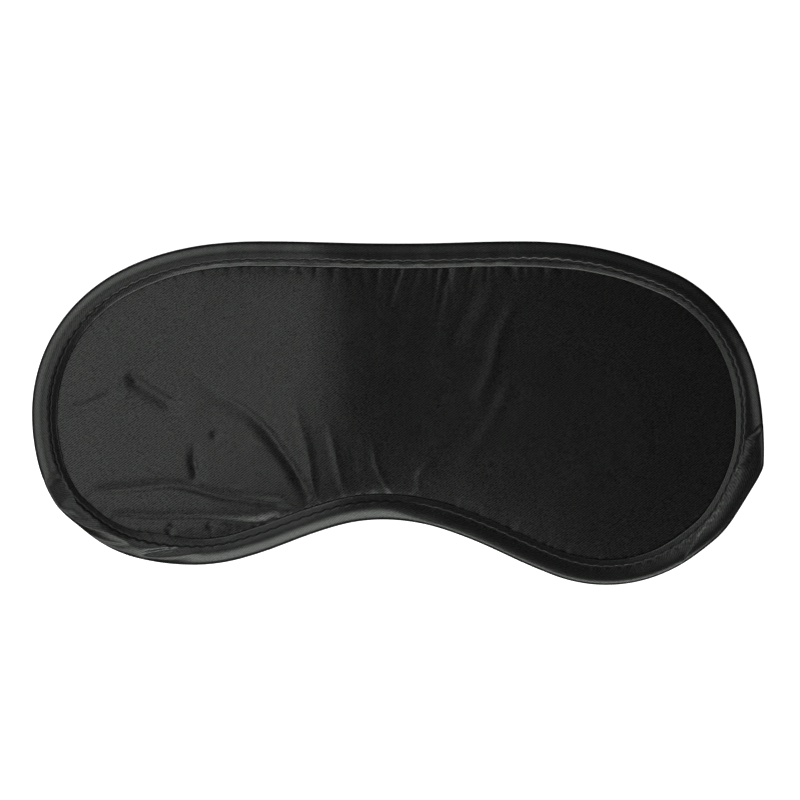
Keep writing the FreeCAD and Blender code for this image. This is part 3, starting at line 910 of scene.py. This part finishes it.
def tape_section(half_width, half_thickness):
    """Half the tape's thickness across its width, over the ribs, and the two rounded edges."""
    v = np.linspace(-half_width, half_width, RIBS * RIB_STEPS + 1)
    rib = RIB_HEIGHT * np.abs(np.sin(math.pi * RIBS * (v + half_width) / (2 * half_width)))
    edge = np.clip((half_width - np.abs(v)) / 0.5, 0.0, 1.0)
    thick = (half_thickness - RIB_HEIGHT + rib) * np.sqrt(np.maximum(1.0 - (1.0 - edge) ** 2, 0.06))
    return v, thick


def tape_path(strap):
    """The tape's middle line from its sewn end to its free end: u, sideways sway and z."""
    (sewn_u, _, sewn_low), (_, _, sewn_high) = strap.span(f"{strap.side}_strap_sewn_end")
    (_, _, free_low), (end_u, _, free_high) = strap.span(f"{strap.side}_strap_elastic")
    close = np.arange(sewn_u, CLOSE_END, CLOSE_STEP)
    free = np.linspace(CLOSE_END, end_u, int((end_u - CLOSE_END) / FREE_STEP))
    u = np.concatenate([close, free])
    drop = ease(u, DROP_START, DROP_END)
    z = (sewn_low + sewn_high) / 2 * (1 - drop) + (free_low + free_high) / 2 * drop
    patch_start = strap.span(PATCHES[strap.side])[0][0]
    loose = ease(u, CLOSE_END, 20.0) * ease(patch_start - u, 2.0, 14.0)
    z = z + LOOSE_LIFT * loose * (1.0 + wander(u, 21.0 + strap.sign, 11.0))
    return u, LOOSE_SWAY * loose * wander(u, 31.0 + strap.sign, 24.0), z


def elastic(strap):
    """The whole elastic tape: sewn end, drop to where it lies, and free length."""
    (_, v_low, z_low), (end_u, v_high, z_high) = strap.span(f"{strap.side}_strap_elastic")
    u, sway, z = tape_path(strap)
    slope = np.gradient(z, u)
    lean = 1.0 / np.sqrt(1.0 + slope**2)
    v, thick = tape_section((v_high - v_low) / 2, (z_high - z_low) / 2)
    pinch = 1.0 - 0.35 * np.exp(-(end_u - u) / 0.5)
    tape = Solid()
    rows = []
    for i in range(len(u)):
        rise = lean[i] * thick * pinch[i]
        run = slope[i] * rise
        top = strap.place(u[i] - run, v + sway[i], z[i] + rise)
        low = strap.place(u[i] + run, v + sway[i], z[i] - rise)
        rows.append(np.vstack([top, low[::-1]]))
    tape.skin(rows)
    piece = tape.make(f"{strap.side}_strap_elastic_tape")
    walked = np.concatenate([[0.0], np.cumsum(np.hypot(np.diff(u), np.diff(z)))])
    round_tape = np.tile(np.concatenate([v, v[::-1]]), len(u))
    set_uvs(piece, np.column_stack([np.repeat(walked, 2 * len(v)), round_tape]))
    piece.data.materials.append(elastic_weave)
    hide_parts(f"{strap.side}_strap_sewn_end", f"{strap.side}_strap_elastic")
    start = strap.place(BEND_START, 0.0, 0.0) * MM
    end = strap.place(BEND_END, 0.0, 0.0) * MM
    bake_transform(piece)


def rounded_outline(low, high, corner):
    """A rectangle's outline with round corners, in u and v."""
    steps = 6
    outline = []
    centres = ((high[0] - corner, high[1] - corner), (low[0] + corner, high[1] - corner),
               (low[0] + corner, low[1] + corner), (high[0] - corner, low[1] + corner))
    for quarter, (u, v) in enumerate(centres):
        for step in range(steps + 1):
            turn = math.pi / 2 * (quarter + step / steps)
            outline.append((u + corner * math.cos(turn), v + corner * math.sin(turn)))
    return np.array(outline)


PATCH_BASE = 0.42  # thickness of a patch's ground cloth
PATCH_CORNER, PATCH_BEVEL = 1.6, 0.14


def plate(solid, strap, low, high, z_low, z_high):
    """A patch's ground cloth: a thin plate with round corners and eased edges."""
    bevel = PATCH_BEVEL
    rows = []
    for inset, z in ((bevel, z_low), (0.0, z_low + bevel), (0.0, z_high - bevel), (bevel, z_high)):
        outline = rounded_outline(low + inset, high - inset, PATCH_CORNER - inset)
        rows.append(strap.place(outline[:, 0], outline[:, 1], z))
    solid.skin(rows)


BOX_MARGIN, BOX_PITCH, BOX_LENGTH = 1.5, 2.6, 1.9  # of the stitches round a patch
BOX_DIVE = 0.10


def box_stitches(solid, strap, low, high, z, out):
    """A rectangle of stitches, one margin inside a patch's edge, on a face at height z."""
    low, high = low + BOX_MARGIN, high - BOX_MARGIN
    corners = [(low[0], low[1]), (high[0], low[1]), (high[0], high[1]), (low[0], high[1])]
    t = np.linspace(-1.0, 1.0, 7)
    rise = out * (THREAD_RADIUS - BOX_DIVE * np.abs(t) ** 3)
    for number, corner in enumerate(corners):
        a, b = np.array(corner), np.array(corners[(number + 1) % 4])
        count = max(1, round(np.linalg.norm(b - a) / BOX_PITCH))
        heading = (b - a) / np.linalg.norm(b - a)
        side = -heading[1] * strap.along + heading[0] * strap.across
        for stitch in range(count):
            centre = a + (b - a) * (stitch + 0.5) / count
            along = centre[None, :] + heading[None, :] * (t * BOX_LENGTH / 2)[:, None]
            path = strap.place(along[:, 0], along[:, 1], z + rise)
            solid.bar(path, thread_radii(t, 0.05), side)


EDGE_CLEARANCE, STITCH_CLEARANCE = 0.45, 0.42


def clear_of_stitches(u, v, low, high):
    """True for places on a patch that its stitches leave free."""
    inner = min(u - low[0], high[0] - u, v - low[1], high[1] - v)
    return inner > EDGE_CLEARANCE and abs(inner - BOX_MARGIN) > STITCH_CLEARANCE


HOOK_PITCH = (0.95, 0.85)
HOOK_SHAPE = [(0.0, 0.0), (0.0, 0.24), (0.03, 0.42), (0.12, 0.56), (0.26, 0.62), (0.39, 0.56), (0.45, 0.42)]
HOOK_RADIUS = 0.10


def hook_patch(strap):
    """Moulded hooks in rows on a ground tape, under the right strap."""
    low, high = strap.span("hook_patch")
    base = high[2] - PATCH_BASE
    patch = Solid()
    plate(patch, strap, low[:2], high[:2], base, high[2])
    shape = np.array(HOOK_SHAPE)
    rows = np.arange(low[1] + 0.7, high[1] - 0.6, HOOK_PITCH[1])
    for number, v in enumerate(rows):
        facing = 1.0 if number % 2 else -1.0
        for u in np.arange(low[0] + 0.8, high[0] - 0.7, HOOK_PITCH[0]):
            if clear_of_stitches(u, v, low, high):
                path = strap.place(u + facing * shape[:, 0], v, base + 0.08 - shape[:, 1])
                patch.bar(path, HOOK_RADIUS, strap.across, corners=6)
    piece = patch.make("hook_patch_hooks")
    finish_piece(piece, hook_nylon, strap.body, "hook_patch")


LOOP_PITCH = (0.82, 0.80)
LOOP_RADIUS = 0.085


def loop_patch(strap):
    """Brushed loops that stand every way on a ground tape, on top of the left strap."""
    low, high = strap.span("loop_patch")
    base = low[2] + PATCH_BASE
    chance = np.random.default_rng(5)
    patch = Solid()
    plate(patch, strap, low[:2], high[:2], low[2], base)
    turn = np.linspace(0.0, math.pi, 7)
    for v in np.arange(low[1] + 0.55, high[1] - 0.4, LOOP_PITCH[1]):
        for u in np.arange(low[0] + 0.6, high[0] - 0.5, LOOP_PITCH[0]):
            where = np.array((u, v)) + chance.uniform(-0.18, 0.18, 2)
            facing, lean = chance.uniform(0.0, math.pi), chance.uniform(-0.35, 0.35)
            width, rise = chance.uniform(0.24, 0.40), chance.uniform(0.42, 0.66)
            if not clear_of_stitches(*where, low, high):
                continue
            across = width * np.cos(turn)
            height = rise * np.sin(turn)
            local_u = where[0] + across * math.cos(facing)
            local_v = where[1] + across * math.sin(facing)
            side = -math.sin(facing) * strap.along + math.cos(facing) * strap.across
            path = strap.place(local_u, local_v, base - 0.06 + height) + side * (lean * height)[:, None]
            patch.bar(path, LOOP_RADIUS, side, corners=5)
    piece = patch.make("loop_patch_pile")
    finish_piece(piece, loop_pile, strap.body, "loop_patch")


def patch_stitches(strap):
    """The stitches round a patch, on the patch's own face and on the tape's other face."""
    patch = PATCHES[strap.side]
    low, high = strap.span(patch)
    thread_low, thread_high = strap.span(f"{patch}_stitches")
    threads = Solid()
    if strap.side == "left":
        sides = ((thread_high[2], -1.0), (low[2] + PATCH_BASE, 1.0))
    else:
        sides = ((thread_low[2], 1.0), (high[2] - PATCH_BASE, -1.0))
    for z, out in sides:
        box_stitches(threads, strap, low[:2], high[:2], z, out)
    piece = threads.make(f"{patch}_thread")
    finish_piece(piece, sewing_thread, strap.body, f"{patch}_stitches")


# ---- studio

CENTRE = (0.0, 0.0, 0.01)
# Each light's place, aim, two sizes and radiance. The dark cloth shows what it mirrors: the ceiling
# panel where it is level, and the panels round it where it slopes.
LIGHTS = {
    "ceiling_panel": ((-0.36, 0.05, 0.80), (-0.36, 0.05, 0.0), (0.60, 0.70), 0.86),
    "left_softbox": ((-0.95, 0.05, 0.42), CENTRE, (1.4, 0.6), 1.6),
    "back_softbox": ((-0.67, 0.95, 0.60), (-0.67, 0.0, 0.0), (1.04, 0.7), 1.9),
    "back_fill": ((0.45, 0.95, 0.60), (0.45, 0.0, 0.0), (1.0, 0.7), 0.22),
    "front_softbox": ((0.30, -0.95, 0.60), (0.30, 0.0, 0.0), (1.2, 0.7), 3.4),
    "front_fill": ((-0.75, -0.95, 0.55), (-0.75, 0.0, 0.0), (0.9, 0.6), 2.2),
    "right_fill": ((0.90, 0.10, 0.50), CENTRE, (0.5, 0.55), 1.2),
}
FLOOR_REACH, FLOOR_Z = 4000, -1


def soft_light(name, place, aim, size, radiance):
    """A soft panel, its radiance in watts per square metre and steradian."""
    data = bpy.data.lights.new(name, "AREA")
    data.shape = "RECTANGLE"
    data.size, data.size_y = size
    data.energy = radiance * math.pi * size[0] * size[1]
    lamp = bpy.data.objects.new(name, data)
    lamp.location = place
    lamp.rotation_euler = (Vector(aim) - Vector(place)).to_track_quat("-Z", "Y").to_euler()
    lamp.visible_camera = False
    bpy.context.scene.collection.objects.link(lamp)


def pale_floor():
    corners = ((-1, -1), (1, -1), (1, 1), (-1, 1))
    corners = [(FLOOR_REACH * x, FLOOR_REACH * y, FLOOR_Z) for x, y in corners]
    floor = make_object("floor", corners, [(0, 1, 2, 3)])
    nodes = Nodes("floor_paper")
    tone = nodes.noise(nodes.place("Object"), 3.0)
    nodes.colour(tone, (0.90, 0.90, 0.90), (0.93, 0.93, 0.93))
    nodes.set(Roughness=0.9, Emission_Color=(1.0, 1.0, 1.0, 1.0), Emission_Strength=0.9)
    floor.data.materials.append(nodes.material)
    floor.visible_glossy = False
    floor.visible_diffuse = False


def room():
    """White where the camera sees it, and nearly dark for everything else."""
    world = bpy.data.worlds.new("room")
    world.use_nodes = True
    tree = world.node_tree
    kinds = ("LightPath", "Background", "MixShader")
    light_path, seen, mix = (tree.nodes.new(f"ShaderNode{kind}") for kind in kinds)
    dim = tree.nodes["Background"]
    seen.inputs["Color"].default_value = (1.0, 1.0, 1.0, 1.0)
    dim.inputs["Color"].default_value = (0.9, 0.95, 0.92, 1.0)
    dim.inputs["Strength"].default_value = 0.02
    tree.links.new(light_path.outputs["Is Camera Ray"], mix.inputs[0])
    tree.links.new(dim.outputs[0], mix.inputs[1])
    tree.links.new(seen.outputs[0], mix.inputs[2])
    tree.links.new(mix.outputs[0], tree.nodes["World Output"].inputs[0])
    bpy.context.scene.world = world
    bpy.context.scene.view_settings.view_transform = "Standard"


VIEW_WIDTH = 0.2068  # what the picture shows across, at the mask's height
LENS, SENSOR = 100.0, 36.0
VIEW_CENTRE = (0.0005, 0.0034)
FACE_Z = 0.007  # the height the picture's width is measured at


def camera():
    data = bpy.data.cameras.new("camera")
    data.lens, data.sensor_width = LENS, SENSOR
    data.clip_start, data.clip_end = 0.01, 20.0
    eye = bpy.data.objects.new("camera", data)
    eye.location = (*VIEW_CENTRE, FACE_Z + VIEW_WIDTH * LENS / SENSOR)
    bpy.context.scene.collection.objects.link(eye)
    bpy.context.scene.camera = eye


# ---- scene

face_and_wadding()
back_layers()
edge_binding()
binding_threads()
left, right = StrapFrame("left"), StrapFrame("right")
for strap in (left, right):
    elastic(strap)
    patch_stitches(strap)
loop_patch(left)
hook_patch(right)

pale_floor()
for name, light in LIGHTS.items():
    soft_light(name, *light)
room()
camera()
